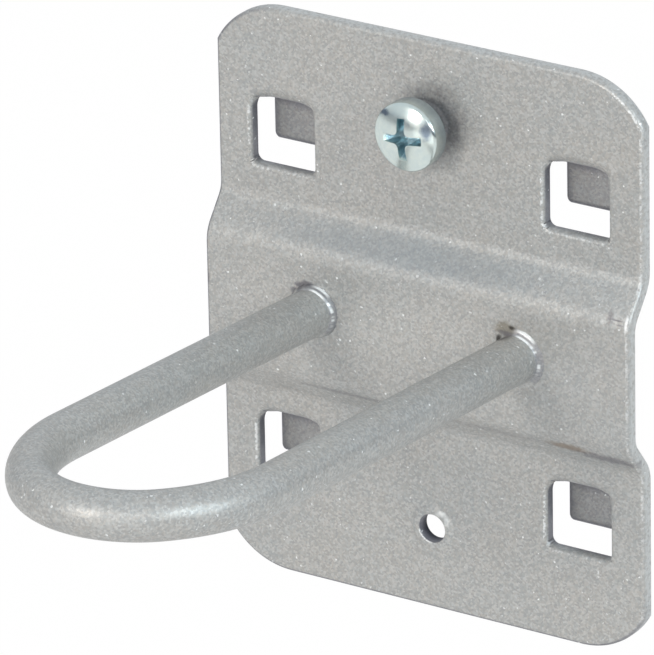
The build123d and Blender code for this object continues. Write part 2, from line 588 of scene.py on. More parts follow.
def bend(x, z, on_lug):
    """Where a point of the blank's front ends up, and which way the sheet's thickness runs there."""
    across, up = from_window(x, z)
    if on_lug and up + sag(across, up) < window_top:
        back, height = lug_place(across, up)
        back_above, height_above = lug_place(across, up + nudge)
        along = Vector((0, back_above - back, height_above - height))
        return Vector((x, back, z - up + height)), Vector((0, -along.z, along.y)).normalized()
    back, angle = roll(across, up)
    steepness = (forward(z + nudge) - forward(z - nudge)) / (2 * nudge)
    thick = Vector((0, -1, -steepness)).normalized()
    if angle:
        thick = Vector((0, -cos(angle), -sin(angle)))
    return Vector((x, back - sheet - forward(z), z)), thick


def sheet_point(x, z, on_lug, deep):
    """A point at a depth below the front of the pressed sheet."""
    point, thick = bend(x, z, on_lug)
    return point - thick * (deep - lip(x, z) * (1 - deep / sheet))


def sheet_facing(x, z, on_lug, deep):
    """Which way the layer at that depth faces, seen from the front."""
    across = sheet_point(x + nudge, z, on_lug, deep) - sheet_point(x - nudge, z, on_lug, deep)
    upward = sheet_point(x, z + nudge, on_lug, deep) - sheet_point(x, z - nudge, on_lug, deep)
    return across.cross(upward).normalized()


print("middle of the band's front", [round(part, 2) for part in sheet_point(0, 0, False, 0)])


# %% [markdown]
# ### The blank
#
# The blank's outlines are walked with the metal on their left and drawn inset by the rounding of the
# edge. One fill between them gives a flat sheet, but its long triangles would bend in the wrong places, so
# it is then cut along each line of a bend or fold. Round the holes a collar of rings takes the lip.


# %% Outlines of the blank
def rounded(corners, steps=8):
    """A closed outline with round corners, each given as x, z and its radius."""
    points = []
    for place, (x, z, radius) in enumerate(corners):
        before, after = corners[place - 1], corners[(place + 1) % len(corners)]
        come = Vector((x - before[0], z - before[1])).normalized()
        leave = Vector((after[0] - x, after[1] - z)).normalized()
        come_left = Vector((-come.y, come.x))
        turn = atan2(come.cross(leave), come.dot(leave))
        side = 1 if turn > 0 else -1
        centre = Vector((x, z)) - come * radius * tan(abs(turn) / 2) + come_left * radius * side
        spoke = -come_left * radius * side
        points += [centre + Matrix.Rotation(turn * step / steps, 2) @ spoke for step in range(steps + 1)]
    return points


def arc(centre, radius, start, end, steps=8):
    """Points on an arc between two angles in degrees."""
    angles = [radians(start + (end - start) * step / steps) for step in range(steps + 1)]
    return [Vector(centre) + radius * Vector((cos(angle), sin(angle))) for angle in angles]


def plate_outline(inset, steps=24):
    """The corners' arcs run into the top and bottom and meet the sides at a blunt angle."""
    x = plate_width / 2 - corner_radius * cos(corner_start)
    z = plate_height / 2 - corner_radius
    radius = corner_radius - inset
    start = degrees(acos((plate_width / 2 - inset - x) / radius))
    outline = arc((-x, -z), radius, 180 + start, 270, steps)
    outline += arc((x, -z), radius, 270, 360 - start, steps)
    outline += arc((x, z), radius, start, 90, steps)
    return outline + arc((-x, z), radius, 90, 180 - start, steps)


def lug_slot(centre_x, centre_z, inset):
    """The U-shaped slot between a tongue and the rest of the window, walked clockwise."""
    side, bottom = window_half - window_corner, window_corner - window_top
    outer = window_corner + inset
    end_side, end_up = window_half - slot_corner, slot_end - slot_corner
    end = slot_corner + inset
    neck, lug_side = lug_neck - inset, lug_half - inset
    meets_neck = degrees(acos((neck - end_side) / end))
    tip_side, tip_up = lug_half - lug_corner, lug_tip + lug_corner
    inner = lug_corner - inset
    outline = arc((-end_side, end_up), end, 180, 180 - meets_neck)
    outline += [Vector((-neck, neck_end)), Vector((-lug_side, shoulder))]
    outline += arc((-tip_side, tip_up), inner, 180, 270) + arc((tip_side, tip_up), inner, 270, 360)
    outline += [Vector((lug_side, shoulder)), Vector((neck, neck_end))]
    outline += arc((end_side, end_up), end, meets_neck, 0)
    outline += arc((side, bottom), outer, 0, -90) + arc((-side, bottom), outer, -90, -180)
    return [point + Vector((centre_x, centre_z)) for point in outline]


def circle(radius, height, steps=64):
    """Clockwise, with the metal outside."""
    angles = [2 * pi * step / steps for step in range(steps)]
    return [Vector((radius * cos(angle), height - radius * sin(angle))) for angle in angles]


window_places = [(x, z) for x in (-half_pitch, half_pitch) for z in (-half_pitch, half_pitch)]
print("outline points:", len(plate_outline(edge_round)))

# %% Fill the blank
collar = 3.2
collar_steps = 10
blank = bmesh.new()


def draw(points):
    corners = [blank.verts.new((x, 0, z)) for x, z in points]
    return corners, [blank.edges.new(pair) for pair in zip(corners, corners[1:] + corners[:1])]


border = draw(plate_outline(edge_round))[1]
for place in window_places:
    border += draw(lug_slot(*place, edge_round))[1]
collars = {}
for height, hole in ((hole_height, screw_hole), (-hole_height, core_hole)):
    collars[height, hole], edges = draw(circle(collar, height))
    border += edges
bmesh.ops.triangle_fill(blank, use_beauty=True, edges=border, normal=(0, -1, 0))

for (height, hole), outer in collars.items():
    for step in range(1, collar_steps + 1):
        radius = collar + (hole + hole_round - collar) * step / collar_steps
        inner = [blank.verts.new((x, 0, z)) for x, z in circle(radius, height)]
        for a, b, c, d in zip(outer, outer[1:] + outer[:1], inner[1:] + inner[:1], inner):
            blank.faces.new((a, b, c, d))
        outer = inner
for face in blank.faces:
    face.normal_update()
    if face.normal.y > 0:
        face.normal_flip()
print("flat faces:", len(blank.faces))


# %% Cut the blank along its bends
same_place = 1e-4


def cut(across, distance, within=None):
    """Cuts faces along a line, across x or up z, all of them or those within a box of the blank."""
    faces = list(blank.faces)
    if within:
        low_x, high_x, low_z, high_z = within
        middles = [(face, face.calc_center_median()) for face in faces]
        faces = [f for f, m in middles if low_x < m.x < high_x and low_z < m.z < high_z]
    edges = {edge for face in faces for edge in face.edges}
    corners = {corner for face in faces for corner in face.verts}
    normal = (1, 0, 0) if across else (0, 0, 1)
    place = [distance * part for part in normal]
    pieces = [*faces, *edges, *corners]
    bmesh.ops.bisect_plane(blank, geom=pieces, dist=same_place, plane_co=place, plane_no=normal)


bend_steps, fold_steps, fade_steps, roll_steps = 7, 6, 15, 10
for step in range(bend_steps + 1):
    angle = slope_angle * step / bend_steps
    for distance in (slope_foot - bend_radius * sin(angle), slope_outer * sin(angle) - slope_crest):
        cut(False, upper_middle + distance)
        cut(False, lower_middle - distance)

fold_turns = [fold_angle * step / fold_steps for step in range(fold_steps + 1)]
roll_heights = [fold_start - fold_outside * sin(angle) for angle in fold_turns]
fade_drop = sag_low - window_top
fade_heights = [window_top + fade_drop * step / fade_steps for step in range(1, fade_steps + 1)]
walks = [rest_of_fold * step / fold_steps for step in range(1, fold_steps + 1)]
walks += [rest_of_fold + lug_run + inner_fold * step / fold_steps for step in range(fold_steps + 1)]
lug_heights = [window_top - walk / lug_stretch for walk in walks]
sag_widths = [sag_start + (lug_neck - sag_start) * step / fold_steps for step in range(fold_steps)]
roll_width = window_half + roll_side - lug_neck
roll_widths = [lug_neck + roll_width * step / roll_steps for step in range(roll_steps + 1)]
frame_side, frame_top = window_half + 1, fold_start + 0.5  # half sizes of the part that a window bends
for x, z in window_places:
    for distance in (x - frame_side, x + frame_side):
        cut(True, distance)
    for distance in (z - frame_top, z + frame_top):
        cut(False, distance)
for x, z in window_places:
    region = (x - frame_side, x + frame_side, z - frame_top, z + frame_top)
    for height in roll_heights + fade_heights + lug_heights:
        cut(False, z + height, region)
    for width in sag_widths + roll_widths:
        cut(True, x - width, region)
        cut(True, x + width, region)
print("blank faces:", len(blank.faces))


# %% [markdown]
# ### The rim
#
# A punched edge is rounded at the front and ends in a bare wall, which gets painted shade, as do the front
# edges of the lugs and those that face left and down. Edges that face right and up get painted light, and
# bright marks that are partly wear and partly painted highlight. A shader can't tell an edge from a face, so
# each point of the mesh carries its painted shade, its painted light and its wear, and the paint reads those
# numbers. The edge itself is made of real steps round the rim, because a bump would leave a hard outline.


# %% How the rim is worn, and where painted shade and painted light go on it
def near_window(x, z):
    return abs(abs(x) - half_pitch) < frame_side and abs(abs(z) - half_pitch) < frame_top


def near_hole(x, z):
    return hypot(x, abs(z) - hole_height) < collar


# Strengths of the painted shade on folds and walls and of the painted light on rims
fold_dark, fold_dark_start = 0.7, 0.6
fold_back = 1.0
wall_dark, wall_pale = 0.75, 0.7
# Shares of the sheet's depth between which each shade sets in
rim_front = 0.06
window_wall = (0.12, 0.4)
hole_wall = (0.02, 0.08)
bore_wall = (0.1, 0.45)
pale_wall = (0.1, 0.3)
# Wear and painted highlight by the way that an edge faces
wear_and_highlight_right, wear_and_highlight_up = 0.85, 0.5
rubbed_and_lit_right, rubbed_and_lit_up, rubbed_and_lit_corner = 0.6, 0.25, 0.6


def fold_shade(x, z, on_lug):
    """Painted shade on the fold above a window, where it turns to the floor, and where the lug leaves the
    plate.
    """
    across, up = from_window(x, z)
    if on_lug:
        return fold_dark if lug_place(across, up)[0] < fold_back else 0
    return fold_dark * ease(roll(across, up)[1] / fold_angle, fold_dark_start, 1)


def rim_look(x, z, on_lug, way, depth):
    """Painted shade, painted light and wear with painted highlight of the rim at a share of its depth, by the
    way that it faces.
    """
    right, up = max(way.x, 0), max(way.y, 0)
    wear_and_highlight = max(wear_and_highlight_right * way.x + wear_and_highlight_up * way.y, 0) if depth < rim_front else 0
    if on_lug:
        return wall_dark * ease(depth, 0, rim_front), 0, 0
    if near_window(x, z):
        dark = wall_dark * (ease(depth, *window_wall) * (1 - up**2) + depth**3 * up**2)
        return dark, 0, wear_and_highlight
    if near_hole(x, z):
        dark = wall_dark * ease(depth, *hole_wall) + (1 - wall_dark) * ease(depth, *bore_wall)
        return dark, 0, wear_and_highlight
    dark = wall_dark * max(-way.x, -way.y, 0) * ease(depth, 0, rim_front)
    pale = wall_pale * max(right, up) * ease(depth, *pale_wall)
    return dark, pale, wear_and_highlight * (rubbed_and_lit_right * right + rubbed_and_lit_up * up + rubbed_and_lit_corner * right * up)


facing_right = Vector((1, 0))
print("right edge is pale by", rim_look(plate_width / 2, 0, False, facing_right, 0.5)[1])


# %% Press the blank into a sheet with two sides and a rounded rim
def tongue(x, z):
    """Whether a point of the blank lies on a tongue that becomes a lug."""
    across, up = from_window(x, z)
    return across < lug_half and up < window_top and up > lug_tip - edge_round


def rim_turns(front, steps=(12, 30, 50, 70, 90)):
    """Steps round the rim as outward, inward and the shares of facing front and outwards."""
    turns = []
    for angle in map(radians, steps):
        turns.append((front * sin(angle), front * (1 - cos(angle)), cos(angle), sin(angle)))
    for angle in map(radians, (90, 60, 30, 0)):
        out = front - back_round * (1 - sin(angle))
        turns.append((out, sheet - back_round * (1 - cos(angle)), -cos(angle), sin(angle)))
    return turns


def press_sheet(name):
    blank.verts.index_update()
    count = len(blank.verts)
    flat = [(corner.co.x, corner.co.z) for corner in blank.verts]
    lugs = [tongue(x, z) for x, z in flat]
    spots = [(x, z, on_lug) for (x, z), on_lug in zip(flat, lugs)]
    points = [sheet_point(*spot, 0) for spot in spots] + [sheet_point(*spot, sheet) for spot in spots]
    normals = [sheet_facing(*spot, 0) for spot in spots] + [-sheet_facing(*spot, sheet) for spot in spots]
    faces = [[corner.index for corner in face.verts] for face in blank.faces]
    faces += [[count + index for index in reversed(face)] for face in faces]

    following, leading = {}, {}
    for edge in blank.edges:
        if edge.is_boundary:
            loop = edge.link_loops[0]
            here, there = loop.vert.index, loop.link_loop_next.vert.index
            following[here], leading[there] = there, here

    def outward(index):
        sides = []
        for here, there in ((leading[index], index), (index, following[index])):
            along = Vector(flat[there]) - Vector(flat[here])
            sides.append(Vector((along.y, -along.x)).normalized())
        return (sides[0] + sides[1]) / (1 + sides[0].dot(sides[1]))

    looks = [(fold_shade(*spot), 0, 0) for spot in spots] + [(0, 0, 0)] * count
    rings = {}
    for index in following:
        way = outward(index)
        front_round = hole_round if near_hole(*flat[index]) else edge_round
        rings[index] = [index]
        for out, deep, facing_share, outward_share in rim_turns(front_round):
            x, z = Vector(flat[index]) + way * out
            here = sheet_point(x, z, lugs[index], deep)
            side = sheet_point(x + way.x * nudge, z + way.y * nudge, lugs[index], deep) - here
            facing = sheet_facing(x, z, lugs[index], deep)
            rings[index].append(len(points))
            points.append(here)
            normals.append((facing * facing_share + side.normalized() * outward_share).normalized())
            looks.append(rim_look(*spots[index], way.normalized(), deep / sheet))
        rings[index].append(count + index)
    for here, there in following.items():
        for a, b, c, d in zip(rings[here], rings[here][1:], rings[there][1:], rings[there]):
            faces.append((a, b, c, d))

    mesh = bpy.data.meshes.new(name)
    mesh.from_pydata(points, [], faces)
    mesh.polygons.foreach_set("use_smooth", [True] * len(faces))
    mesh.normals_split_custom_set_from_vertices(normals)
    # painted shade, painted light and wear with painted highlight, for the paint to read
    for name, values in zip(("dark", "pale", "edge"), zip(*looks)):
        mesh.attributes.new(name, "FLOAT", "POINT").data.foreach_set("value", values)
    return mesh


plate_mesh = press_sheet("pressed_plate")
blank.free()
print("points on the sheet:", len(plate_mesh.vertices))


# %% Put a piece in place of a part
def add_piece(name, mesh, node, material):
    """Turns a mesh into metres, gives it its finish, adds it on the root body and hides the node's imported
    part.
    """
    mesh.transform(Matrix.Scale(MM, 4))
    mesh.materials.clear()
    mesh.materials.append(material)
    piece = bpy.data.objects.new(name, mesh)
    scene.collection.objects.link(piece)
    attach(piece, "root")
    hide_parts(node)
    print(name, "has", len(mesh.polygons), "faces")


add_piece("pressed_plate", plate_mesh, "back_plate", paint)

# %% [markdown]
# ## The bent rod
#
# The loop is one rod, bent cold: two straight legs, an easy arc beside each and a tighter nose. That is
# a rule along a path, so Geometry Nodes draw it. A straight line is divided finely, each point is moved
# to where the bender would put it, and a circle is swept along the result.


# %% Tools for shapes that follow a rule
def shape_tree(name, sizes):
    """A Geometry Nodes tree with one named input for each size."""
    tree = bpy.data.node_groups.new(name, "GeometryNodeTree")
    tree.interface.new_socket("Geometry", in_out="INPUT", socket_type="NodeSocketGeometry")
    tree.interface.new_socket("Geometry", in_out="OUTPUT", socket_type="NodeSocketGeometry")
    for size in sizes:
        tree.interface.new_socket(size, in_out="INPUT", socket_type="NodeSocketFloat")
    maker = NodeMaker(tree)
    source = maker.node("NodeGroupInput")
    return maker, [maker.number(source, size) for size in sizes]


def close_tree(maker, geometry, material):
    """Ends a tree with one smooth mesh that wears its finish."""
    smooth = maker.node("GeometryNodeSetShadeSmooth", {}, {"Geometry": geometry})
    whole = maker.node("GeometryNodeRealizeInstances", {}, {"Geometry": smooth.outputs[0]})
    sockets = {"Geometry": whole.outputs[0], "Material": material}
    dressed = maker.node("GeometryNodeSetMaterial", {}, sockets)
    maker.node("NodeGroupOutput", {}, {0: dressed.outputs[0]})


def grow(name, maker, sizes):
    """Runs a tree with its sizes and returns the result as a plain mesh."""
    start = bpy.data.meshes.new(name + "_start")
    holder = bpy.data.objects.new(name + "_holder", start)
    scene.collection.objects.link(holder)
    modifier = holder.modifiers.new("shape", "NODES")
    modifier.node_group = maker.tree
    for item in maker.tree.interface.items_tree:
        if item.in_out == "INPUT" and item.name in sizes:
            modifier[item.identifier] = sizes[item.name]
    mesh = bpy.data.meshes.new_from_object(holder.evaluated_get(bpy.context.evaluated_depsgraph_get()))
    mesh.name = name
    bpy.data.objects.remove(holder)
    bpy.data.meshes.remove(start)
    return mesh


def unit_grid(maker, columns, rows):
    """A square of points, and how far across and up it each point lies, from 0 to 1."""
    sizes = {"Size X": 1, "Size Y": 1, "Vertices X": columns, "Vertices Y": rows}
    grid = maker.node("GeometryNodeMeshGrid", {}, sizes)
    x, y, _ = maker.parts(maker.node("GeometryNodeInputPosition").outputs[0])
    return grid.outputs[0], x + 0.5, y + 0.5


def wrap(maker, grid, position):
    """Moves a grid's points to their places and joins its sides where they meet."""
    moved = maker.node("GeometryNodeSetPosition", {}, {"Geometry": grid, "Position": position})
    sockets = {"Geometry": moved.outputs[0], "Distance": seam}
    return maker.node("GeometryNodeMergeByDistance", {}, sockets).outputs[0]


def put(maker, shape, place):
    """Turns a shape to the loop's tilt and moves it to its place."""
    sockets = {"Geometry": shape, "Translation": place, "Rotation": (-loop_tilt, 0, 0)}
    return maker.node("GeometryNodeTransform", {}, sockets).outputs[0]


seam = 0.001
print("shape tools ready")

# %% Sizes of the loop
rod_radius = 2.74
half_spacing = 13.2
straight_leg = 48.7
bend_depth = 17.25
flank_turn = radians(41)
loop_tilt = radians(3.9)
loop_height = 0.42
root_y = -(sheet + band_step)
root_sink = 0.7
radius_change = (bend_depth - half_spacing) / (cos(flank_turn) + sin(flank_turn) - 1)
flank_radius = half_spacing + radius_change * cos(flank_turn)
nose_radius = bend_depth - radius_change * sin(flank_turn)
loop_reach = straight_leg + bend_depth
nose_place = (0, root_y - loop_reach * cos(loop_tilt), loop_height + loop_reach * sin(loop_tilt))
print("bend radii", round(flank_radius, 2), round(nose_radius, 2))

# %% Bend the rod
path_points, rod_sides = 401, 48
rod_sizes = {
    "Rod radius": rod_radius,
    "Nose radius": nose_radius,
    "Flank radius": flank_radius,
    "Flank turn": flank_turn,
    "Leg": straight_leg + root_sink,
}
maker, inputs = shape_tree("bent_rod", rod_sizes)
radius, nose, flank, turn, leg = inputs
nose_walk = nose * (pi / 2 - turn)
flank_walk = flank * turn
line = maker.node("GeometryNodeCurvePrimitiveLine", {}, {"End": (1, 0, 0)})
divided = {"Curve": line.outputs[0], "Count": path_points}
path = maker.node("GeometryNodeResampleCurve", {"mode": "COUNT"}, divided)
share = maker.number(maker.node("GeometryNodeSplineParameter"), "Factor")
signed_walk = (share * 2 - 1) * (nose_walk + flank_walk + leg)
walk = abs(signed_walk)
nose_angle = walk.math("MINIMUM", nose_walk) / nose
flank_angle = (walk - nose_walk).math("MAXIMUM", 0).math("MINIMUM", flank_walk) / flank + nose_angle
straight = (walk - nose_walk - flank_walk).math("MAXIMUM", 0)
across = nose * nose_angle.math("SINE") + flank * (flank_angle.math("SINE") - nose_angle.math("SINE"))
behind = nose * (1 - nose_angle.math("COSINE")) + straight
behind = behind + flank * (nose_angle.math("COSINE") - flank_angle.math("COSINE"))
position = maker.vector(across * signed_walk.math("SIGN"), behind, 0)
moved = {"Geometry": path.outputs[0], "Position": position}
bent = maker.node("GeometryNodeSetPosition", {}, moved)
section = maker.node("GeometryNodeCurvePrimitiveCircle", {}, {"Resolution": rod_sides, "Radius": radius})
swept = {"Curve": bent.outputs[0], "Profile Curve": section.outputs[0], "Fill Caps": True}
rod = maker.node("GeometryNodeCurveToMesh", {}, swept)
close_tree(maker, put(maker, rod.outputs[0], nose_place), paint)
add_piece("bent_rod", grow("bent_rod", maker, rod_sizes), "loop_rod", paint)

# %% [markdown]
# ## The welds
#
# Each leg is welded all round where it meets the band. A weld lies in the corner as a ring that is never
# quite even. On its upper right two bright lines are painted highlights, which break up into flecks further
# round, and painted shade lies round them on the right. The beads could be modelled by hand, but a grid
# bent into a ring says the same in a few lines: one way runs round the leg, the other round the ring's
# section, and noise makes the bead uneven. A field is worked out anew wherever it is used, so what the grid's
# shares give for the finish is stored on the points before they are moved.

# %% Draw a bead
bead_columns, bead_rows = 193, 97
buried = 0.4
uneven_least, uneven_spread, uneven_scale = 0.9, 0.2, 2.2
maker, inputs = shape_tree("weld_bead", ["Rod radius", "Width", "Length", "Hollow", "Root x", "Seed"])
radius, width, length, hollow, root_x, seed = inputs
grid, leg_share, bead_share = unit_grid(maker, bead_columns, bead_rows)
round_leg, round_bead = leg_share * (2 * pi), bead_share * (2 * pi)
spot = maker.vector(round_leg.math("COSINE"), round_leg.math("SINE"), seed)
uneven = uneven_least + uneven_spread * maker.noise(spot, uneven_scale, 2)
outwards, along = round_bead.math("COSINE"), round_bead.math("SINE")
crown = (outwards > 0) * (along > 0)
wide = crown * (hollow * (1 - along) + (1 - hollow) * outwards)
wide = wide + (1 - crown) * outwards.math("MAXIMUM", 0)
tall = crown * (hollow * (1 - outwards) + (1 - hollow) * along)
tall = tall + (1 - crown) * along.math("MAXIMUM", 0)
reach = wide * width * uneven + outwards.math("MINIMUM", 0) * buried + radius
skew = reach * round_leg.math("SINE") * tan(loop_tilt)
climb = tall * length * uneven + along.math("MINIMUM", 0) * buried + skew
position = maker.vector(reach * round_leg.math("COSINE"), climb * -1, reach * round_leg.math("SINE"))
print("points on a bead:", bead_columns * bead_rows)

# %% Painted highlights, flecks and painted shade on a bead
# Angles round the leg in degrees, from its right side upwards, where each look comes and goes
lines_come, lines_go = (38, 58), (74, 96)
bare_come, bare_go = (40, 60), (320, 335)
lit_come, lit_go = (100, 115), (305, 320)
# Shares of the crown's way up where the two lines lie, with where each fades out and is full
outer_place, outer_fade = 0.2, (0.24, 0.06)
inner_place, inner_drop, inner_fade = 0.84, 0.3, (0.26, 0.08)
drop_fade = (0.9, 0.1)
fleck_scale, fleck_chance, fleck_bright = 5.0, (0.46, 0.6), 0.8
line_bright, near_shade = 0.85, 0.4
leg_angle = leg_share * 360
up_crown = bead_share * 4
lines = maker.between(leg_angle, lines_come, lines_go)
bare = maker.between(leg_angle, bare_come, bare_go)
lit = maker.between(leg_angle, lit_come, lit_go)
flecks = (1 - bare) * maker.smooth(maker.noise(spot, fleck_scale, 3), *fleck_chance) * fleck_bright
dropped = inner_drop * maker.smooth(round_leg.math("SINE"), *drop_fade)
inner_line = maker.smooth(abs(up_crown - inner_place + dropped), *inner_fade)
outer_line = maker.smooth(abs(up_crown - outer_place), *outer_fade)
# two lines and flecks of painted highlight, then painted shade beside them on the right
glints = crown * line_bright * (inner_line * lines.math("MAXIMUM", flecks) + outer_line * lines)
shaded = crown * (1 - lit) * (1 - glints) * near_shade
for name, value in (("glint", glints), ("dark", shaded)):
    settings = {"data_type": "FLOAT", "domain": "POINT"}
    sockets = {"Geometry": grid, "Name": name, "Value": value}
    grid = maker.node("GeometryNodeStoreNamedAttribute", settings, sockets).outputs[0]
place = maker.vector(root_x, root_y, loop_height)
close_tree(maker, put(maker, wrap(maker, grid, position), place), paint)
print("bead nodes:", len(maker.tree.nodes))

# %% Lay the beads
bead_sizes = {
    "left": {"Width": 0.4, "Length": 1.0, "Hollow": 0.2, "Root x": -half_spacing, "Seed": 2.0},
    "right": {"Width": 0.8, "Length": 0.5, "Hollow": 0.85, "Root x": half_spacing, "Seed": 7.0},
}
for side, sizes in bead_sizes.items():
    bead = grow(side + "_bead", maker, {"Rod radius": rod_radius, **sizes})
    add_piece(side + "_bead", bead, side + "_weld", paint)

# %% [markdown]
# ## The locking screw
#
# It is an M4 pan-head machine screw. Its head was forged with a cross recess and its thread was rolled.
# The head is turned from a half section and the recess cut with a Boolean, because both are plain solids.
# The thread follows a rule, the radius going up and down once for each turn, so it is a node tree.

# %% Sizes of the screw
head_radius = 4.0
head_side = 2.1
head_height = 3.1
head_edge = 0.45
under_edge = 0.15
stand_off = 2.3
shank_length = 5.0
shank_tip = 0.5
thread_radius = 2.0
thread_core = 1.62
thread_pitch = 0.7
recess_half = 2.6
recess_arm = 0.475
recess_depth = 2.2
recess_corner = 0.55
recess_end = 0.08
recess_lean = tan(radians(26))
recess_turn = radians(3)
recess_soften = 0.13
seat = Vector((0, -(sheet + stand_off), hole_height))
dome_radius = (head_radius**2 + (head_height - head_side) ** 2) / (2 * (head_height - head_side))
print("dome radius", round(dome_radius, 2))


# %% Turn the head and sink the recess
def head_section(dome_steps=30, steps=10):
    """Half section of the head as radius and height, from the top of the dome down to the shank."""
    sink = dome_radius - head_edge
    middle = head_radius - head_edge
    level = head_height - dome_radius + sqrt(sink**2 - middle**2)
    rim_angle = asin(middle / sink)
    section = []
    for step in range(1, dome_steps + 1):
        angle = rim_angle * step / dome_steps
        section.append((dome_radius * sin(angle), head_height - dome_radius * (1 - cos(angle))))
    for step in range(1, steps + 1):
        angle = rim_angle + (pi / 2 - rim_angle) * step / steps
        section.append((middle + head_edge * sin(angle), level + head_edge * cos(angle)))
    for step in range(steps + 1):
        angle = pi / 2 * step / steps
        section.append((head_radius - under_edge * (1 - cos(angle)), under_edge * (1 - sin(angle))))
    return section


def turned_head(steps=128):
    """The head as a closed solid, turned about the screw's axis, which points forward."""
    solid = bmesh.new()
    angles = [2 * pi * step / steps for step in range(steps)]
    rings = []
    for radius, height in head_section():
        rings.append([solid.verts.new((radius * cos(a), -height, radius * sin(a))) for a in angles])
    for outer, inner in zip(rings, rings[1:]):
        for here in range(steps):
            there = (here + 1) % steps
            solid.faces.new((outer[here], outer[there], inner[there], inner[here]))
    for ring, height in ((rings[0], head_height), (rings[-1], 0)):
        pole = solid.verts.new((0, -height, 0))
        for here in range(steps):
            solid.faces.new((pole, ring[here], ring[(here + 1) % steps]))
    bmesh.ops.recalc_face_normals(solid, faces=solid.faces)
    mesh = bpy.data.meshes.new("screw_head")
    solid.to_mesh(mesh)
    solid.free()
    return mesh


def cross(half):
    """The recess's outline: four arms with round inner corners, walked with the inside on the left."""
    corners = []
    for quarter in range(4):
        spin = Matrix.Rotation(quarter * pi / 2 + recess_turn, 2)
        for x, z, radius in (
            (half, -recess_arm, recess_end),
            (half, recess_arm, recess_end),
            (recess_arm, recess_arm, recess_corner),
        ):
            corners.append((*(spin @ Vector((x, z))), radius))
    return rounded(corners)


def recess_cutter(above=0.3):
    """The recess as a solid that tapers inwards and starts a little above the dome."""
    solid = bmesh.new()
    levels = [(head_height + above, recess_half + above * recess_lean)]
    levels.append((head_height - recess_depth, recess_half - recess_depth * recess_lean))
    top, bottom = [[solid.verts.new((x, -height, z)) for x, z in cross(half)] for height, half in levels]
    solid.faces.new(top)
    solid.faces.new(bottom)
    for a, b, c, d in zip(top, top[1:] + top[:1], bottom[1:] + bottom[:1], bottom):
        solid.faces.new((a, b, c, d))
    bmesh.ops.recalc_face_normals(solid, faces=solid.faces)
    mesh = bpy.data.meshes.new("recess_cutter")
    solid.to_mesh(mesh)
    solid.free()
    return mesh


def cut_head():
    """The head with its recess, and how deep each point lies below the dome."""
    head = bpy.data.objects.new("screw_head", turned_head())
    cutter = bpy.data.objects.new("recess_cutter", recess_cutter())
    for part in (head, cutter):
        scene.collection.objects.link(part)
    sink = head.modifiers.new("recess", "BOOLEAN")
    sink.object = cutter
    sink.solver = "EXACT"
    soften = head.modifiers.new("soften", "BEVEL")
    soften.limit_method = "ANGLE"
    soften.angle_limit = radians(40)
    soften.width = recess_soften
    soften.segments = 2
    mesh = bpy.data.meshes.new_from_object(head.evaluated_get(bpy.context.evaluated_depsgraph_get()))
    for part in (head, cutter):
        old = part.data
        bpy.data.objects.remove(part)
        bpy.data.meshes.remove(old)
    mesh.polygons.foreach_set("use_smooth", [True] * len(mesh.polygons))
    mesh.set_sharp_from_angle(angle=radians(35))
    sunk = []
    recess_reach, recess_floor = 0.75 * head_radius, 0.5
    for corner in mesh.vertices:
        reach = hypot(corner.co.x, corner.co.z)
        dome = head_height - dome_radius + sqrt(dome_radius**2 - reach**2)
        within = reach < recess_reach and -corner.co.y > recess_floor
        sunk.append(dome + corner.co.y if within else 0)
    mesh.attributes.new("sunk", "FLOAT", "POINT").data.foreach_set("value", sunk)
    return mesh


head_mesh = cut_head()
print("head faces:", len(head_mesh.polygons))

# %% Roll the thread
thread_sides, thread_rows = 97, 161
thread_flank = (0.15, 0.85)
thread_sizes = {
    "Crest": thread_radius,
    "Core": thread_core,
    "Pitch": thread_pitch,
    "Length": shank_length,
    "Tip": shank_tip,
}
maker, inputs = shape_tree("rolled_thread", thread_sizes)
crest, core, pitch, length, tip = inputs
grid, turn_share, walk_share = unit_grid(maker, thread_sides, thread_rows)
turn = turn_share * (2 * pi)
walk = walk_share * (length + 2 * tip) - tip
depth = walk.math("MAXIMUM", 0).math("MINIMUM", length)
past_end = (walk * -1).math("MAXIMUM", walk - length).math("MAXIMUM", 0)
phase = (depth / pitch + turn_share).math("FRACT")
flank = 1 - abs(phase * 2 - 1)
thread = core + (crest - core) * maker.smooth(flank, *thread_flank)
chamfer = crest - tip + (length - depth)
radius = thread.math("MINIMUM", chamfer) * (1 - past_end / tip)
position = maker.vector(radius * turn.math("COSINE"), depth, radius * turn.math("SINE") * -1)
close_tree(maker, wrap(maker, grid, position), zinc)
thread_mesh = grow("rolled_thread", maker, thread_sizes)
print("thread faces:", len(thread_mesh.polygons))

# %% Join the head and the thread
screw = bmesh.new()
screw.from_mesh(head_mesh)
screw.from_mesh(thread_mesh)
screw_mesh = bpy.data.meshes.new("lock_screw")
screw.to_mesh(screw_mesh)
screw.free()
for part in (head_mesh, thread_mesh):
    bpy.data.meshes.remove(part)
screw_mesh.transform(Matrix.Translation(seat))
add_piece("lock_screw", screw_mesh, "locking_screw", zinc)

# %% [markdown]
# ## Floor, light and camera
#
# The hook is shown against white, lit softly from all round with a larger share from the front. The
# floor lies far enough below that no shadow edge crosses the picture. It looks white to the camera and
# to reflections through the light path, so no extra light is needed on the hook to bleach it. A low dark
# band in the world gives the bright screw something to mirror. The camera stands far off with a long
# lens, as a catalogue picture is taken, so that the plate's edges stay almost parallel.

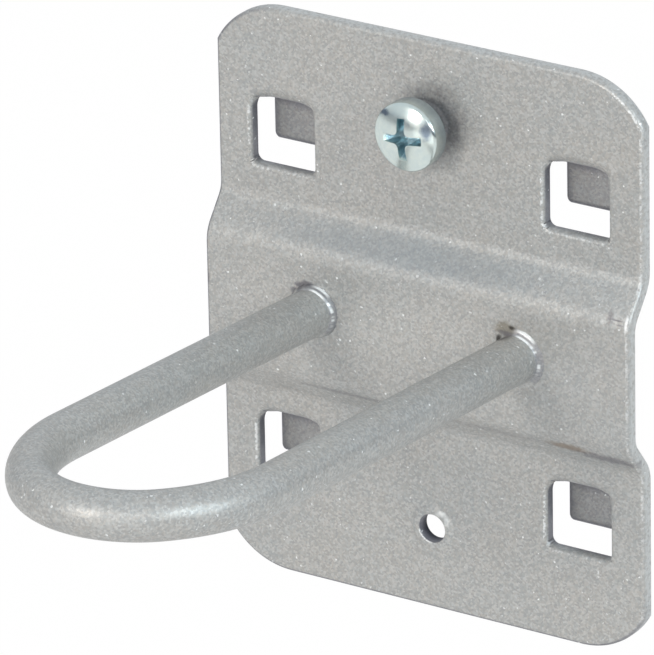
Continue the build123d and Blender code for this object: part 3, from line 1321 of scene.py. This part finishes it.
# %% Floor
floor_drop = 0.3
floor_half = 4.0
floor_grey = (0.7, 0.7, 0.7, 1)
seen_white, mirrored_white = 0.995, 0.8
floor_shape = bmesh.new()
bmesh.ops.create_grid(floor_shape, x_segments=1, y_segments=1, size=floor_half)
bmesh.ops.translate(floor_shape, verts=floor_shape.verts, vec=(0, 0, -floor_drop))
floor_mesh = bpy.data.meshes.new("floor")
floor_shape.to_mesh(floor_mesh)
floor_shape.free()
floor_material = bpy.data.materials.new("white_floor")
maker = empty_tree(floor_material)
light_path = maker.node("ShaderNodeLightPath")
seen, mirrored, through = [
    maker.number(light_path, ray) for ray in ("Is Camera Ray", "Is Glossy Ray", "Is Transmission Ray")
]
whitened = (seen * seen_white).math("MAXIMUM", mirrored.math("MAXIMUM", through) * mirrored_white)
plain = maker.node("ShaderNodeBsdfDiffuse", {}, {"Color": floor_grey})
glow = maker.node("ShaderNodeEmission", {}, {"Color": (1, 1, 1, 1), "Strength": 1.0})
shaders = {"Fac": whitened, 1: plain.outputs[0], 2: glow.outputs[0]}
looks = maker.node("ShaderNodeMixShader", {}, shaders)
maker.node("ShaderNodeOutputMaterial", {}, {"Surface": looks.outputs[0]})
floor_mesh.materials.append(floor_material)
floor = bpy.data.objects.new("floor", floor_mesh)
scene.collection.objects.link(floor)
print("floor at", -floor_drop)

# %% Light
tent_pale = (0.74, 0.78, 0.82, 1)
tent_dark = (0.05, 0.05, 0.07, 1)
band_rise, band_fall = (-0.1, -0.06), (0.06, 0.2)
band_middle, band_to_right = 0.9, 0.4
world = bpy.data.worlds.new("studio")
maker = empty_tree(world)
light_path = maker.node("ShaderNodeLightPath")
rightward, _, height = maker.parts(maker.node("ShaderNodeTexCoord").outputs["Generated"])
band = maker.between(height, band_rise, band_fall)
shade = maker.mix(band * (band_middle + band_to_right * rightward), tent_pale, tent_dark)
tent = maker.node("ShaderNodeBackground", {}, {"Color": shade, "Strength": 1.0})
white = maker.node("ShaderNodeBackground", {}, {"Color": (1, 1, 1, 1), "Strength": 1.0})
seen = maker.number(light_path, "Is Camera Ray")
sky = maker.node("ShaderNodeMixShader", {}, {"Fac": seen, 1: tent.outputs[0], 2: white.outputs[0]})
maker.node("ShaderNodeOutputWorld", {}, {"Surface": sky.outputs[0]})
scene.world = world
hook_middle = Vector((0, -0.02, 0))


def softbox(name, place, size, watts, colour):
    """A square area lamp that faces the middle of the hook."""
    lamp = bpy.data.lights.new(name, "AREA")
    lamp.size = size
    lamp.energy = watts
    lamp.color = colour
    holder = bpy.data.objects.new(name, lamp)
    turn = (hook_middle - Vector(place)).to_track_quat("-Z", "Y")
    holder.matrix_world = Matrix.Translation(place) @ turn.to_matrix().to_4x4()
    scene.collection.objects.link(holder)
    print(name, "gives", watts, "watts")


softbox("front_box", (-0.13, -0.85, 0.29), 0.14, 2.0, (1.0, 0.95, 0.90))
softbox("low_box", (0.1, -0.85, -0.12), 0.5, 0.48, (1.0, 0.97, 0.94))
softbox("fill_box", (0.62, -0.97, 0.40), 0.26, 1.5, (1.0, 0.97, 0.94))
softbox("right_box", (0.84, -0.19, 0.38), 0.28, 3.0, (0.80, 0.93, 1.0))
scene.view_settings.view_transform = "Standard"

# %% Camera
azimuth, elevation, lean = radians(33.244), radians(23.063), radians(-1.136)
distance = 0.94692
aim = Vector((0.0001, -0.02, 0.0001))
frame_shift = (-0.001402, 0.006281)
focal_pixels = 8708.9
photo_height = 655
film = 36.0
back = Vector((sin(azimuth) * cos(elevation), -cos(azimuth) * cos(elevation), sin(elevation)))
level_right = Vector((cos(azimuth), sin(azimuth), 0))
level_up = back.cross(level_right)
right = level_right * cos(lean) + level_up * sin(lean)
up = level_up * cos(lean) - level_right * sin(lean)
lens = bpy.data.cameras.new("photo_camera")
lens.sensor_fit = "VERTICAL"
lens.sensor_height = film
lens.lens = focal_pixels / photo_height * film
lens.clip_end = 20.0
camera = bpy.data.objects.new("photo_camera", lens)
place = aim + back * distance + right * frame_shift[0] + up * frame_shift[1]
camera.matrix_world = Matrix.Translation(place) @ Matrix((right, up, back)).transposed().to_4x4()
scene.collection.objects.link(camera)
scene.camera = camera
print("camera at", [round(part, 3) for part in place])
